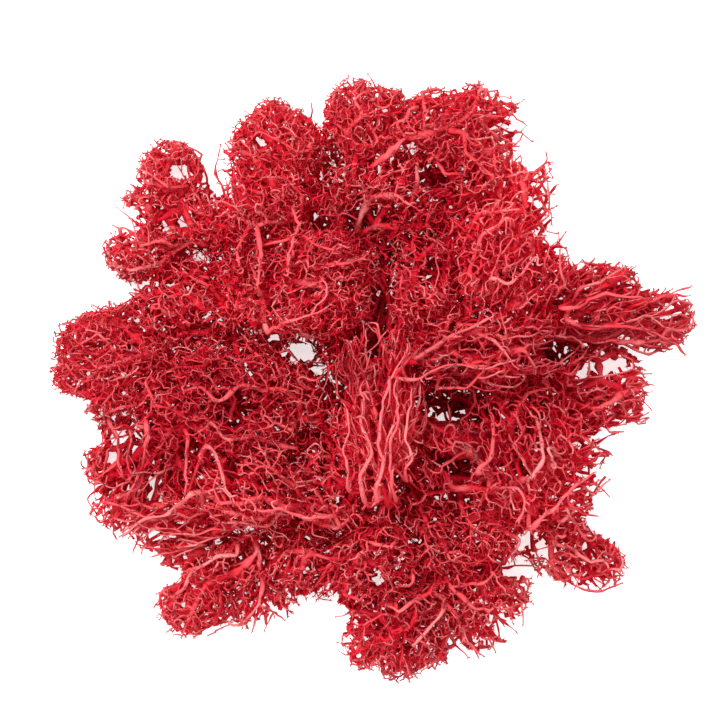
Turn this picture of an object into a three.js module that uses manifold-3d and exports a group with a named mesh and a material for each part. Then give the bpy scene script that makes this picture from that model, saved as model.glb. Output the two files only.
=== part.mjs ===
// Reindeer moss clump: some thirty torn tufts of a dyed branching lichen, tangled into one loose heap.
// Every tuft is a small bush of its own. It starts at a torn root, wanders and forks until it fills one
// or more rounded crowns with a loose net of branches, and ends in pointed tips. The heap lies on the XY
// plane, +Z up, in millimetres, with its origin on the surface under the middle of the heap.

import * as THREE from "three";
import { mergeVertices } from "three/addons/utils/BufferGeometryUtils.js";
import Module from "manifold-3d";

// ---- Driving dimensions, mm ----

const TIP_RADIUS = 0.48; // of a branch that ends in one tip
const GIRTH_POWER = 0.25; // how fast a branch thickens with the tips that it carries
const FACET_ALLOWANCE = 1.3; // a branch with flat sides is drawn this much wider than a round one
const KNOT_AREA = 11.5; // mm2 of crown, seen from above, to one knot: a spot where branches bend or fork
const STEM_GAP = 0.35; // clear space between the branches of two tufts
const FLOOR_PRESS = 0.35; // a lying branch is this share of its radius up, and is cut flat at the surface
const FOOT_REACH = 1.6; // a knot that is lower than this lies down on the surface

// ---- The tufts, from the upper left of the heap to its lower right, then the ones underneath ----
// Each has its torn root, its straightness and its crowns. A tuft with a straightness of 0 wanders from
// each knot to the nearest one, and with 1 every branch runs straight out from the root. A crown is an
// ellipsoid: the x, y and z of its middle, and then its half sizes.

const TUFTS = [
  tuft(
    "upper_left_arm",
    [-31, 27, 11],
    0.3,
    [-40, 43, 15, 8, 6, 9],
    [-47, 26, 12, 9, 7, 9],
    [-40, 34, 14, 12, 7, 8],
  ),
  tuft("left_shoulder", [-27, 5, 13], 0.3, [-37, 15, 16, 12, 10, 9]),
  tuft("left_head", [-34, 3, 12], 0.3, [-52, 4, 14, 14, 12, 11], [-43, -3, 12, 10, 9, 9]),
  tuft("left_fringe", [-39, -6, 12], 0.45, [-50, -19, 9, 9, 13, 8], [-39, -17, 10, 8, 7, 7]),
  tuft("lower_left_shoulder", [-20, -26, 15], 0.5, [-41, -28, 12, 12, 8, 9]),
  tuft(
    "lower_left_lobe",
    [-24, -31, 11],
    0.3,
    [-36, -45, 10, 8, 8, 9],
    [-23, -46, 8, 7, 5, 7],
    [-31, -37, 10, 13, 6, 8],
  ),
  tuft("top_left_head", [-12, 40, 13], 0.3, [-18, 49, 13, 10, 9, 11]),
  tuft("top_middle_head", [-5, 38, 13], 0.3, [-1, 52, 12, 11, 10, 10]),
  tuft(
    "top_right_spray",
    [0, 43, 18],
    0.3,
    [12, 52, 17, 9, 7, 9],
    [23, 52, 15, 9, 9, 11],
    [19, 43, 19, 9, 8, 9],
  ),
  tuft("right_shoulder", [22, 18, 16], 0.3, [29, 33, 15, 10, 16, 12]),
  tuft("upper_left_dome", [-17, 30, 16], 0.3, [-25, 37, 20, 12, 12, 12]),
  tuft("middle_left_dome", [-24, 12, 17], 0.3, [-14, 20, 26, 17, 12, 12]),
  tuft("top_valley", [-2, 27, 12], 0.3, [3, 36, 17, 14, 11, 8]),
  tuft("middle_right_crest", [18, 13, 20], 0.3, [10, 20, 25, 9, 12, 11]),
  tuft("right_net", [16, 6, 21], 0.3, [25, 21, 26, 14, 15, 12]),
  tuft("middle_slant", [7, 4, 27], 0.45, [23, 7, 31, 16, 9, 9]),
  tuft("middle_front", [3, -26, 19], 0.6, [1, -4, 32, 10, 16, 10]),
  tuft("left_middle", [-8, -12, 16], 0.3, [-29, -4, 18, 20, 14, 12]),
  tuft("lower_left_middle", [-7, -27, 17], 0.3, [-24, -20, 22, 12, 10, 9], [-8, -20, 22, 9, 9, 9]),
  tuft("lower_middle", [3, -27, 17], 0.3, [0, -36, 14, 11, 10, 10], [-15, -36, 11, 9, 8, 8]),
  tuft("bottom_lobe", [11, -36, 13], 0.3, [5, -49, 10, 14, 12, 10], [21, -44, 11, 12, 12, 10]),
  tuft("lower_right_middle", [11, -22, 14], 0.3, [18, -29, 16, 14, 11, 10]),
  tuft("lower_right_net", [33, -26, 15], 0.3, [24, -13, 24, 19, 15, 11]),
  tuft("lower_right_arm", [29, -25, 9], 0.25, [44, -37, 8, 9, 6, 7], [36, -31, 9, 9, 6, 8]),
  tuft("right_arm", [34, 10, 14], 0.5, [45, 16, 13, 14, 9, 9], [58, 13, 11, 8, 8, 8]),
  tuft("right_hollow", [37, -4, 13], 0.25, [47, -2, 11, 11, 11, 8]),
  tuft("lower_right_side", [32, -21, 13], 0.25, [39, -17, 14, 10, 14, 10]),
  tuft("under_left", [-41, -13, 0.5], 0.3, [-21, -9, 7, 16, 12, 6]),
  tuft("under_lower", [-6, -45, 0.5], 0.3, [-7, -27, 7, 14, 13, 6]),
  tuft("under_right", [46, -9, 0.5], 0.3, [26, -6, 8, 16, 14, 7]),
  tuft("under_top", [-22, 47, 0.5], 0.3, [-15, 32, 8, 15, 13, 7]),
  tuft("under_middle", [-3, 0, 0.5], 0.3, [2, 14, 11, 14, 13, 8]),
  tuft("under_upper_right", [28, 45, 0.5], 0.3, [18, 35, 8, 14, 14, 7]),
];

function tuft(name, root, straightness, ...crowns) {
  return { name, root: new THREE.Vector3(...root), straightness, crowns };
}

// ---- Random draws, the same on every run ----

const SEED = 4;

function seeded(seed) {
  let state = seed >>> 0;
  return () => {
    state = (state + 0x6d2b79f5) >>> 0;
    let mixed = Math.imul(state ^ (state >>> 15), state | 1);
    mixed ^= mixed + Math.imul(mixed ^ (mixed >>> 7), mixed | 61);
    return ((mixed ^ (mixed >>> 14)) >>> 0) / 2 ** 32;
  };
}

// ---- Knots: the spots that a tuft passes through, spread evenly through its crowns ----

const TRIES = 30; // spots drawn for each knot, of which the one with the most room is taken
const OUTWARD = 0.34; // at 1/3 the knots fill a crown evenly
const LOWEST_KNOT = 0.3;
const CLOSEST_KNOTS = 2;
const HEIGHT_SHARE = 0.5; // what a difference in height counts for, beside one along the surface

function spotIn([x, y, z, halfX, halfY, halfZ], draw) {
  const rise = 2 * draw() - 1;
  const turn = 2 * Math.PI * draw();
  const out = draw() ** OUTWARD;
  const level = Math.sqrt(1 - rise * rise);
  return new THREE.Vector3(
    x + halfX * out * level * Math.cos(turn),
    y + halfY * out * level * Math.sin(turn),
    z + halfZ * out * rise,
  );
}

// 0 in the middle of a crown, 1 on its skin.
function depthIn([x, y, z, halfX, halfY, halfZ], spot) {
  return Math.hypot((spot.x - x) / halfX, (spot.y - y) / halfY, (spot.z - z) / halfZ);
}

// Each tuft keeps to the space that lies deeper in its own crowns than in those of any other.
function isOwn(spot, owner) {
  const depths = TUFTS.map(({ crowns }) => Math.min(...crowns.map((crown) => depthIn(crown, spot))));
  return Math.min(...depths) === depths[owner] && spot.z > LOWEST_KNOT;
}

// How far apart two spots look, seen mostly from above.
const spread = (a, b) => Math.hypot(a.x - b.x, a.y - b.y, HEIGHT_SHARE * (a.z - b.z));

// others holds the knots of the tufts that were drawn before.
function drawKnots(owner, others, draw) {
  const knots = [TUFTS[owner].root.clone()];
  for (const crown of TUFTS[owner].crowns) {
    const area = Math.PI * crown[3] * crown[4];
    for (let n = 0; n < area / KNOT_AREA; n++) {
      const drawn = Array.from({ length: TRIES }, () => spotIn(crown, draw));
      const spots = drawn.filter((spot) => isOwn(spot, owner));
      const rooms = spots.map((spot) => Math.min(...[...knots, ...others].map((knot) => spread(knot, spot))));
      const most = Math.max(...rooms);
      if (most > CLOSEST_KNOTS) {
        knots.push(spots[rooms.indexOf(most)]);
      }
    }
  }
  return knots;
}

// ---- Growth: each knot is reached from the knot that makes the shortest way to it ----

const MOST_FORKS = 3; // branches that leave one knot

const girth = (tips) => TIP_RADIUS * tips ** GIRTH_POWER;

// Returns, for each knot, the one that it is reached from. The root has none.
function linkKnots(knots, straightness) {
  const from = [undefined];
  const way = [0];
  const forks = knots.map(() => 0);
  const grown = [0];
  const waiting = new Set(knots.keys());
  waiting.delete(0);
  while (waiting.size > 0) {
    let best = { cost: Infinity };
    for (const i of waiting) {
      for (const k of grown) {
        const cost = knots[i].distanceTo(knots[k]) + straightness * way[k];
        if (forks[k] < MOST_FORKS && cost < best.cost) {
          best = { cost, i, k };
        }
      }
    }
    const { i, k } = best;
    from[i] = k;
    way[i] = way[k] + knots[i].distanceTo(knots[k]);
    forks[k] += 1;
    grown.push(i);
    waiting.delete(i);
  }
  return from;
}

// Returns the branches of a tuft, each with the joints that it runs through. joints holds the whole heap's.
function growTuft(owner, joints) {
  const others = joints.map(({ point }) => point);
  const knots = drawKnots(owner, others, seeded(SEED + owner));
  const from = linkKnots(knots, TUFTS[owner].straightness);
  const children = knots.map((_, i) => [...knots.keys()].filter((k) => from[k] === i));
  const countTips = (i) => children[i].reduce((sum, k) => sum + countTips(k), 0) || 1;
  const tips = knots.map((_, i) => countTips(i));
  const first = joints.length;
  knots.forEach((point, i) => joints.push({ point, radius: girth(tips[i]), owner }));

  // A branch follows the child with the most tips at each knot, and the other children start branches there.
  const branches = [];
  function startBranch(i, before, child) {
    const branch = { path: [first + i], before, tips: tips[child] };
    branches.push(branch);
    follow(branch, child);
  }
  function follow(branch, i) {
    const before = branch.path.at(-1);
    branch.path.push(first + i);
    const [main, ...sides] = children[i].toSorted((a, b) => tips[b] - tips[a]);
    if (main !== undefined) {
      follow(branch, main);
    }
    sides.forEach((side) => startBranch(i, before, side));
  }
  children[0].forEach((child) => startBranch(0, undefined, child));
  return branches;
}

// ---- Settling: branches of two tufts are bent clear of each other, and none reaches below the surface ----

const SETTLING_STEPS = 400;
const SETTLED = 0.01; // the pushing ends when no gap falls short by more than this
const SURROUNDINGS = 6; // runs that lie further apart than this at first are taken never to meet
const PARALLEL = 1e-9; // two runs with less slant than this pass equally close all along

// The straight runs of some branches, from joint to joint.
const runsOf = (branches, joints) =>
  branches.flatMap(({ path }) => path.slice(1).map((to, i) => [joints[path[i]], joints[to]]));

// Where two straight runs pass closest: the shares along them, and the vector from the second to the first.
function closestPass(a0, a1, b0, b1) {
  const u = a1.clone().sub(a0);
  const v = b1.clone().sub(b0);
  const w = a0.clone().sub(b0);
  const { clamp } = THREE.MathUtils;
  const slant = u.lengthSq() * v.lengthSq() - u.dot(v) ** 2;
  const crossing = (u.dot(v) * v.dot(w) - v.lengthSq() * u.dot(w)) / slant;
  const guess = slant < PARALLEL ? 0.5 : clamp(crossing, 0, 1);
  const t = clamp((u.dot(v) * guess + v.dot(w)) / v.lengthSq(), 0, 1);
  const s = clamp((u.dot(v) * t - u.dot(w)) / u.lengthSq(), 0, 1);
  return { s, t, apart: w.addScaledVector(u, s).addScaledVector(v, -t) };
}

function settle(joints, branches) {
  const runs = runsOf(branches, joints);
  const pairs = [];
  const around = runs.map(([a, b]) => ({
    middle: a.point.clone().lerp(b.point, 0.5),
    half: a.point.distanceTo(b.point) / 2,
  }));
  runs.forEach((one, i) => {
    for (let j = i + 1; j < runs.length; j++) {
      const near = around[i].half + around[j].half + SURROUNDINGS;
      if (runs[j][0].owner !== one[0].owner && around[i].middle.distanceTo(around[j].middle) < near) {
        pairs.push([one, runs[j]]);
      }
    }
  });
  joints.forEach((joint) => {
    joint.lies = joint.point.z < FOOT_REACH;
  });
  for (let step = 0; step < SETTLING_STEPS; step++) {
    let worst = 0;
    joints.forEach((joint) => {
      const lowest = FLOOR_PRESS * joint.radius;
      joint.point.z = joint.lies ? lowest : Math.max(joint.point.z, lowest);
      joint.push = new THREE.Vector3();
    });
    for (const [[a0, a1], [b0, b1]] of pairs) {
      const { s, t, apart } = closestPass(a0.point, a1.point, b0.point, b1.point);
      const radii = Math.max(a0.radius, a1.radius) + Math.max(b0.radius, b1.radius);
      const lack = FACET_ALLOWANCE * radii + STEM_GAP - apart.length();
      if (lack > 0) {
        worst = Math.max(worst, lack);
        apart.setLength(lack / 2);
        a0.push.addScaledVector(apart, 1 - s);
        a1.push.addScaledVector(apart, s);
        b0.push.addScaledVector(apart, t - 1);
        b1.push.addScaledVector(apart, -t);
      }
    }
    if (worst < SETTLED) {
      break;
    }
    joints.forEach((joint) => joint.point.add(joint.push));
  }
}

// ---- Solids ----

const wasm = await Module();
wasm.setup();

const THICK_STEM = 8; // a branch with more tips than this has four sides, and a finer one has three
const SET_BACK = 1; // a side branch starts inside its stem, this many radii below the fork
const LONGEST_SET_BACK = 0.25; // and no further down than this share of the run that leads to the fork
const SIDE_START = 0.15; // it starts almost as a point, at this share of its radius
const NUDGE = 0.004; // where two corners almost coincide, the branches are drawn this share thicker
const GROUND_SIZE = 400;
const SAME_CORNER = 1e-5; // corners of one branch that lie closer than this are one
const CORNER_SPACING = [1e-3, 1e-4]; // corners that round to the same spot at either spacing almost coincide
const FIRST_ACROSS = [0.31, 0.17, 0.93]; // a direction that no branch runs along, to turn its sections from

// The points that a branch is drawn through, with its radius and the directions of its section at each.
function rings({ path, before, tips }, joints, allowance) {
  const points = path.map((i) => joints[i].point.clone());
  const radii = path.map((i) => allowance * Math.min(joints[i].radius, girth(tips)));
  if (before !== undefined) {
    const back = joints[before].point.clone().sub(points[0]);
    points[0].addScaledVector(back, Math.min(LONGEST_SET_BACK, (SET_BACK * radii[0]) / back.length()));
    radii[0] *= SIDE_START;
  }
  const last = points.length - 1;
  const across = new THREE.Vector3(...FIRST_ACROSS);
  return points.map((point, i) => {
    const along = points[Math.min(i + 1, last)].clone().sub(points[Math.max(i - 1, 0)]).normalize();
    across.addScaledVector(along, -across.dot(along)).normalize();
    return { point, radius: radii[i], across: across.clone(), beside: across.clone().cross(along) };
  });
}

// x and z are a place in the section, with 1 at its corners.
function spotOn({ point, radius, across, beside }, x, z) {
  return point.clone().addScaledVector(across, radius * x).addScaledVector(beside, radius * z);
}

const sidesOf = ({ tips }) => (tips > THICK_STEM ? 4 : 3);

// A tapering branch: a three.js cone with one ring for each joint, bent along the joints.
function branchGeometry(branch, joints, allowance) {
  const along = rings(branch, joints, allowance);
  const runs = along.length - 1;
  const geometry = new THREE.CylinderGeometry(0, 1, 1, sidesOf(branch), runs);
  const position = geometry.getAttribute("position");
  for (let i = 0; i < position.count; i++) {
    const ring = Math.round((position.getY(i) + 0.5) * runs);
    const around = new THREE.Vector2(position.getX(i), position.getZ(i)).normalize();
    const spot = spotOn(along[ring], around.x, around.y);
    position.setXYZ(i, spot.x, spot.y, spot.z);
  }
  return geometry;
}

function solidFrom(geometry) {
  geometry.deleteAttribute("normal");
  geometry.deleteAttribute("uv");
  const merged = mergeVertices(geometry, SAME_CORNER);
  const vertProperties = new Float32Array(merged.getAttribute("position").array);
  const triVerts = new Uint32Array(merged.index.array);
  return new wasm.Manifold(new wasm.Mesh({ numProp: 3, vertProperties, triVerts }));
}

function geometryFrom(solid) {
  const { vertProperties, triVerts } = solid.getMesh();
  const geometry = new THREE.BufferGeometry();
  geometry.setAttribute("position", new THREE.BufferAttribute(vertProperties, 3));
  geometry.setIndex(new THREE.BufferAttribute(triVerts, 1));
  geometry.computeVertexNormals();
  return geometry;
}

// One tuft in one body: its branches joined, cut flat where they lie on the surface, with no loose scrap.
function tuftGeometry(branches, joints, allowance = FACET_ALLOWANCE) {
  const solids = branches.map((branch) => solidFrom(branchGeometry(branch, joints, allowance)));
  const ground = new THREE.BoxGeometry(GROUND_SIZE, GROUND_SIZE, GROUND_SIZE);
  ground.translate(0, 0, -GROUND_SIZE / 2);
  const bodies = wasm.Manifold.union(solids).subtract(solidFrom(ground)).decompose();
  const geometry = geometryFrom(bodies.sort((a, b) => b.volume() - a.volume())[0]);
  const bare = geometry.clone().deleteAttribute("normal");
  const corners = (shape) => shape.getAttribute("position").count;
  const clear = CORNER_SPACING.every((spacing) => corners(mergeVertices(bare, spacing)) === corners(bare));
  return clear ? geometry : tuftGeometry(branches, joints, allowance * (1 + NUDGE));
}

// ---- Seats: each tuft leans on its neighbours with a few of its tips ----

const SEATS = 4; // tips of a tuft that lean on a neighbour, each on another one
const SEAT_GAP = 0.3;
const LONGEST_LEAN = 5; // a tip that lies further than this from a neighbour stays free
const LEAST_SQUARE = 0.4; // a tip comes to its seat more squarely than this, where 1 is straight at it
const LEAN_GAP = 0.15; // clear space that a leaning branch keeps to the others that it passes
const PASSING = 0.9; // up to this share of its length, and from there on it may come close to its seat

// The flat sides of every run that doesn't end in a tip.
function flatSides(branch, joints) {
  const along = rings(branch, joints, FACET_ALLOWANCE).slice(0, -1);
  const sides = sidesOf(branch);
  const corner = (ring, k) => {
    const turn = (2 * Math.PI * k) / sides;
    return spotOn(ring, Math.sin(turn), Math.cos(turn));
  };
  return along.slice(1).flatMap((ring, i) =>
    Array.from({ length: sides }, (_, k) => [
      new THREE.Triangle(corner(along[i], k), corner(ring, k), corner(ring, k + 1)),
      new THREE.Triangle(corner(along[i], k), corner(ring, k + 1), corner(along[i], k + 1)),
    ]).flat(),
  );
}

function nearestSeat(tip, triangles) {
  const seat = { gap: Infinity, spot: new THREE.Vector3() };
  const spot = new THREE.Vector3();
  for (const triangle of triangles) {
    triangle.closestPointToPoint(tip, spot);
    const gap = spot.distanceTo(tip);
    if (gap < seat.gap) {
      seat.gap = gap;
      seat.spot.copy(spot);
    }
  }
  return seat;
}

// Whether a run from one joint to a pointed end passes clear of every run of the other tufts.
function passesClear(from, end, runs) {
  return runs.every(([a, b]) => {
    const { s, apart } = closestPass(from.point, end, a.point, b.point);
    const radii = from.radius * (1 - s) + Math.max(a.radius, b.radius);
    return s > PASSING || apart.length() > FACET_ALLOWANCE * radii + LEAN_GAP;
  });
}

// Bends the tips of one tuft that have the shortest way to a neighbour. sides holds each tuft's flat sides.
function leanTuft(owner, joints, branchesOf, sides) {
  const passed = branchesOf.flatMap((branches, k) => (k === owner ? [] : runsOf(branches, joints)));
  const seats = branchesOf[owner].flatMap(({ path }) => {
    const [from, tip] = path.slice(-2).map((i) => joints[i]);
    return sides.map((triangles, carrier) => ({ from, tip, carrier, ...nearestSeat(tip.point, triangles) }));
  });
  seats.sort((a, b) => a.gap - b.gap);
  const carriers = [owner];
  for (const { from, tip, carrier, spot, gap } of seats) {
    const out = tip.point.clone().sub(spot).normalize();
    const end = spot.clone().addScaledVector(out, SEAT_GAP);
    const isFree = carriers.length <= SEATS && !carriers.includes(carrier) && !tip.leans;
    const isNear = gap > SEAT_GAP && gap < LONGEST_LEAN;
    const isSquare = from.point.clone().sub(spot).normalize().dot(out) > LEAST_SQUARE;
    if (isFree && isNear && isSquare && passesClear(from, end, passed)) {
      tip.point.copy(end);
      tip.leans = true;
      carriers.push(carrier);
    }
  }
}

// ---- The heap ----

const LICHEN_RED = 0xb93038;

const joints = [];
const branchesOf = TUFTS.map((_, owner) => growTuft(owner, joints));
settle(joints, branchesOf.flat());

const sides = branchesOf.map((branches) => branches.flatMap((branch) => flatSides(branch, joints)));
TUFTS.forEach((_, owner) => leanTuft(owner, joints, branchesOf, sides));

const box = new THREE.Box3().setFromPoints(joints.map(({ point }) => point));
const middle = box.getCenter(new THREE.Vector3()).setZ(0);
joints.forEach(({ point }) => point.sub(middle));

const clump = new THREE.Group();
TUFTS.forEach(({ name }, owner) => {
  const lichen = new THREE.MeshStandardMaterial({ color: LICHEN_RED, roughness: 0.85, metalness: 0 });
  const mesh = new THREE.Mesh(tuftGeometry(branchesOf[owner], joints), lichen);
  mesh.name = name;
  clump.add(mesh);
});

export default clump;
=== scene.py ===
# Reindeer moss clump: torn tufts of a branching lichen, dyed red and dried, tangled into one loose heap.
# Lengths are in millimetres unless a comment says otherwise, and become metres where a mesh is made.

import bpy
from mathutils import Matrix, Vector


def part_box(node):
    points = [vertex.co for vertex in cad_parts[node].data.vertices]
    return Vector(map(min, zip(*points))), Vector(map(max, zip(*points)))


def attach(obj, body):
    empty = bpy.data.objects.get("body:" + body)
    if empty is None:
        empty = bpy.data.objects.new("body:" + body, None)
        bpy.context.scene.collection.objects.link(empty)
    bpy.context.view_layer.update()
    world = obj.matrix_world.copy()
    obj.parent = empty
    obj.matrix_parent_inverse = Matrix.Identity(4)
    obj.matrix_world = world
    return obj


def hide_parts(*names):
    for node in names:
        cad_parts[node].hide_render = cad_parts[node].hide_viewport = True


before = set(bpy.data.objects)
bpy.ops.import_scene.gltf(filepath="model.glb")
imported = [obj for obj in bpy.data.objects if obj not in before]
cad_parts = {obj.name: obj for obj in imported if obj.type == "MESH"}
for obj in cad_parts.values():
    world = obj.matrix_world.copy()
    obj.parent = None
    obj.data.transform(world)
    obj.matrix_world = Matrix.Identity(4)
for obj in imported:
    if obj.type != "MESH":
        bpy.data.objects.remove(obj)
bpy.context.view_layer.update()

import heapq
import math

import bmesh
import bpy
import numpy as np
from mathutils import kdtree, noise

# ---- The heap ----
# The clump is a loose heap of torn tufts, which hold together only by their tangled branches. Each tuft
# has grown from a root into one or more rounded crowns. Below are its root, its straightness, which is
# higher the more directly its branches run, and its crowns, each with its middle and half sizes.

TUFTS = {
    "upper_left_arm": (
        (-31, 27, 11), 0.3, (-40, 43, 15, 8, 6, 9), (-47, 26, 12, 9, 7, 9), (-40, 34, 14, 12, 7, 8),
    ),
    "left_shoulder": ((-27, 5, 13), 0.3, (-37, 15, 16, 12, 10, 9)),
    "left_head": ((-34, 3, 12), 0.3, (-52, 4, 14, 14, 12, 11), (-43, -3, 12, 10, 9, 9)),
    "left_fringe": ((-39, -6, 12), 0.45, (-50, -19, 9, 9, 13, 8), (-39, -17, 10, 8, 7, 7)),
    "lower_left_shoulder": ((-20, -26, 15), 0.5, (-41, -28, 12, 12, 8, 9)),
    "lower_left_lobe": (
        (-24, -31, 11), 0.3, (-36, -45, 10, 8, 8, 9), (-23, -46, 8, 7, 5, 7), (-31, -37, 10, 13, 6, 8),
    ),
    "top_left_head": ((-12, 40, 13), 0.3, (-18, 49, 13, 10, 9, 11)),
    "top_middle_head": ((-5, 38, 13), 0.3, (-1, 52, 12, 11, 10, 10)),
    "top_right_spray": (
        (0, 43, 18), 0.3, (12, 52, 17, 9, 7, 9), (23, 52, 15, 9, 9, 11), (19, 43, 19, 9, 8, 9),
    ),
    "right_shoulder": ((22, 18, 16), 0.3, (29, 33, 15, 10, 16, 12)),
    "upper_left_dome": ((-17, 30, 16), 0.3, (-25, 37, 20, 12, 12, 12)),
    "middle_left_dome": ((-24, 12, 17), 0.3, (-14, 20, 26, 17, 12, 12)),
    "top_valley": ((-2, 27, 12), 0.3, (3, 36, 17, 14, 11, 8)),
    "middle_right_crest": ((18, 13, 20), 0.3, (10, 20, 25, 9, 12, 11)),
    "right_net": ((16, 6, 21), 0.3, (25, 21, 26, 14, 15, 12)),
    "middle_slant": ((7, 4, 27), 0.45, (23, 7, 31, 16, 9, 9)),
    "middle_front": ((3, -26, 19), 0.6, (1, -4, 32, 10, 16, 10)),
    "left_middle": ((-8, -12, 16), 0.3, (-29, -4, 18, 20, 14, 12)),
    "lower_left_middle": ((-7, -27, 17), 0.3, (-24, -20, 22, 12, 10, 9), (-8, -20, 22, 9, 9, 9)),
    "lower_middle": ((3, -27, 17), 0.3, (0, -36, 14, 11, 10, 10), (-15, -36, 11, 9, 8, 8)),
    "bottom_lobe": ((11, -36, 13), 0.3, (5, -49, 10, 14, 12, 10), (21, -44, 11, 12, 12, 10)),
    "lower_right_middle": ((11, -22, 14), 0.3, (18, -29, 16, 14, 11, 10)),
    "lower_right_net": ((33, -26, 15), 0.3, (24, -13, 24, 19, 15, 11)),
    "lower_right_arm": ((29, -25, 9), 0.25, (44, -37, 8, 9, 6, 7), (36, -31, 9, 9, 6, 8)),
    "right_arm": ((34, 10, 14), 0.5, (45, 16, 13, 14, 9, 9), (58, 13, 11, 8, 8, 8)),
    "right_hollow": ((37, -4, 13), 0.25, (47, -2, 11, 11, 11, 8)),
    "lower_right_side": ((32, -21, 13), 0.25, (39, -17, 14, 10, 14, 10)),
    "under_left": ((-41, -13, 0.5), 0.3, (-21, -9, 7, 16, 12, 6)),
    "under_lower": ((-6, -45, 0.5), 0.3, (-7, -27, 7, 14, 13, 6)),
    "under_right": ((46, -9, 0.5), 0.3, (26, -6, 8, 16, 14, 7)),
    "under_top": ((-22, 47, 0.5), 0.3, (-15, 32, 8, 15, 13, 7)),
    "under_middle": ((-3, 0, 0.5), 0.3, (2, 14, 11, 14, 13, 8)),
    "under_upper_right": ((28, 45, 0.5), 0.3, (18, 35, 8, 14, 14, 7)),
}
NAMES = list(TUFTS)
CROWNS = [np.array(TUFTS[name][2:], float) for name in NAMES]
EVERY_CROWN = np.vstack(CROWNS)
CROWN_OWNERS = np.repeat(np.arange(len(NAMES)), [len(crowns) for crowns in CROWNS])


def depths_in(crowns, spots):
    """How deep each spot lies in each crown, from 0 in its middle to 1 on its skin."""
    return np.linalg.norm((spots[:, None] - crowns[:, :3]) / crowns[:, 3:], axis=2)


# ---- Main branches ----
# A tuft's thicker branches pass through knots, spots that are spread evenly through its crowns. Each knot
# is reached from the one that makes the shortest way to it, and branches of two tufts are bent clear of
# each other. The same rule places the main branches of the solid tufts.

SEED = 4
WORD = 0xFFFFFFFF  # the numbers of the generator have 32 bits
KNOT_AREA = 11.5  # mm2 of crown, seen from above, to one knot
TRIES = 30  # spots drawn for a knot, which takes the one with the most room
OUTWARD = 0.34  # about a third spreads knots evenly through a crown
LOWEST_KNOT = 0.3  # above the surface
CLOSEST_KNOTS = 2  # the least room for a knot
HEIGHT_SHARE = 0.5  # how much of a difference in height counts as room
MOST_FORKS = 3  # branches that leave a knot
MAIN_TIP_RADIUS = 0.48
MAIN_GIRTH_POWER = 0.25  # of the number of tips that a branch carries
MAIN_ALLOWANCE = 1.3  # the solid branches are this much wider than the round ones
STEM_GAP = 0.35  # between the branches of two tufts
FLOOR_PRESS = 0.35  # height of the middle of a lying branch, in radii
FOOT_REACH = 1.6  # a knot lower than this lies on the surface
SETTLING_STEPS = 400  # at most
SETTLED = 0.01  # what the worst gap may fall short by
SURROUNDINGS = 6  # within which two branches are watched
PARALLEL = 1e-9  # the least slant, and the least gap, that are divided by
METRE = 1000


def seeded(seed):
    """The mulberry32 generator, which also places the knots of the solids. It draws from 0 to 1."""
    state = seed

    def draw():
        nonlocal state
        state = (state + 0x6D2B79F5) & WORD
        mixed = ((state ^ (state >> 15)) * (state | 1)) & WORD
        mixed ^= (mixed + (mixed ^ (mixed >> 7)) * (mixed | 61)) & WORD
        return (mixed ^ (mixed >> 14)) / 2**32

    return draw


def spot_in(crown, draw):
    """A spot drawn in a crown."""
    rise = 2 * draw() - 1
    turn = 2 * math.pi * draw()
    out = draw() ** OUTWARD
    level = math.sqrt(1 - rise * rise)
    return crown[:3] + crown[3:] * out * np.array([level * math.cos(turn), level * math.sin(turn), rise])


def is_own(spots, owner):
    """Whether each spot lies deeper in the owner's crowns than in those of any other tuft."""
    depths = depths_in(EVERY_CROWN, spots)
    own = depths[:, CROWN_OWNERS == owner].min(axis=1)
    return (own <= depths.min(axis=1)) & (spots[:, 2] > LOWEST_KNOT)


def draw_knots(owner, others):
    """The knots of a tuft, the first at its root, clear of those that others have."""
    draw = seeded(SEED + owner)
    knots = [np.array(TUFTS[NAMES[owner]][0], float)]
    seen_from_above = np.array([1, 1, HEIGHT_SHARE])
    for crown in CROWNS[owner]:
        for _ in range(math.ceil(math.pi * crown[3] * crown[4] / KNOT_AREA)):
            spots = np.array([spot_in(crown, draw) for _ in range(TRIES)])
            spots = spots[is_own(spots, owner)]
            taken = np.array(others + knots)
            gaps = np.linalg.norm((spots[:, None] - taken) * seen_from_above, axis=2)
            rooms = gaps.min(axis=1)
            if len(rooms) and rooms.max() > CLOSEST_KNOTS:
                knots.append(spots[rooms.argmax()])
    return knots


def link_knots(knots, straightness):
    """The order in which the knots are reached, and for each the knot that it is reached from."""
    gaps = np.linalg.norm(knots[:, None] - knots, axis=2)
    before = [-1] * len(knots)
    way = np.zeros(len(knots))
    forks = [0] * len(knots)
    grown = [0]
    waiting = list(range(1, len(knots)))
    while waiting:
        ready = [k for k in grown if forks[k] < MOST_FORKS]
        costs = gaps[np.ix_(waiting, ready)] + straightness * way[ready]
        i, k = divmod(int(costs.argmin()), len(ready))
        i, k = waiting.pop(i), ready[k]
        before[i] = k
        way[i] = way[k] + gaps[i, k]
        forks[k] += 1
        grown.append(i)
    return grown, before


def tips_of(order, before):
    """How many tips each point carries. order holds the points from the root outwards."""
    tips = [0] * len(before)
    for i in reversed(order):
        tips[i] = max(tips[i], 1)
        if before[i] >= 0:
            tips[before[i]] += tips[i]
    return np.array(tips)


def closest_passes(a0, a1, b0, b1):
    """Where straight runs pass closest: the shares along both, and the way from the second to the first."""
    u, v, w = a1 - a0, b1 - b0, a0 - b0
    uu, vv, uv = (u * u).sum(1), (v * v).sum(1), (u * v).sum(1)
    uw, vw = (u * w).sum(1), (v * w).sum(1)
    slant = uu * vv - uv**2
    crossing = (uv * vw - vv * uw) / np.maximum(slant, PARALLEL)
    guess = np.where(slant < PARALLEL, 0.5, np.clip(crossing, 0, 1))
    t = np.clip((uv * guess + vw) / vv, 0, 1)
    s = np.clip((uv * t - uw) / uu, 0, 1)
    return s[:, None], t[:, None], w + u * s[:, None] - v * t[:, None]


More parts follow.
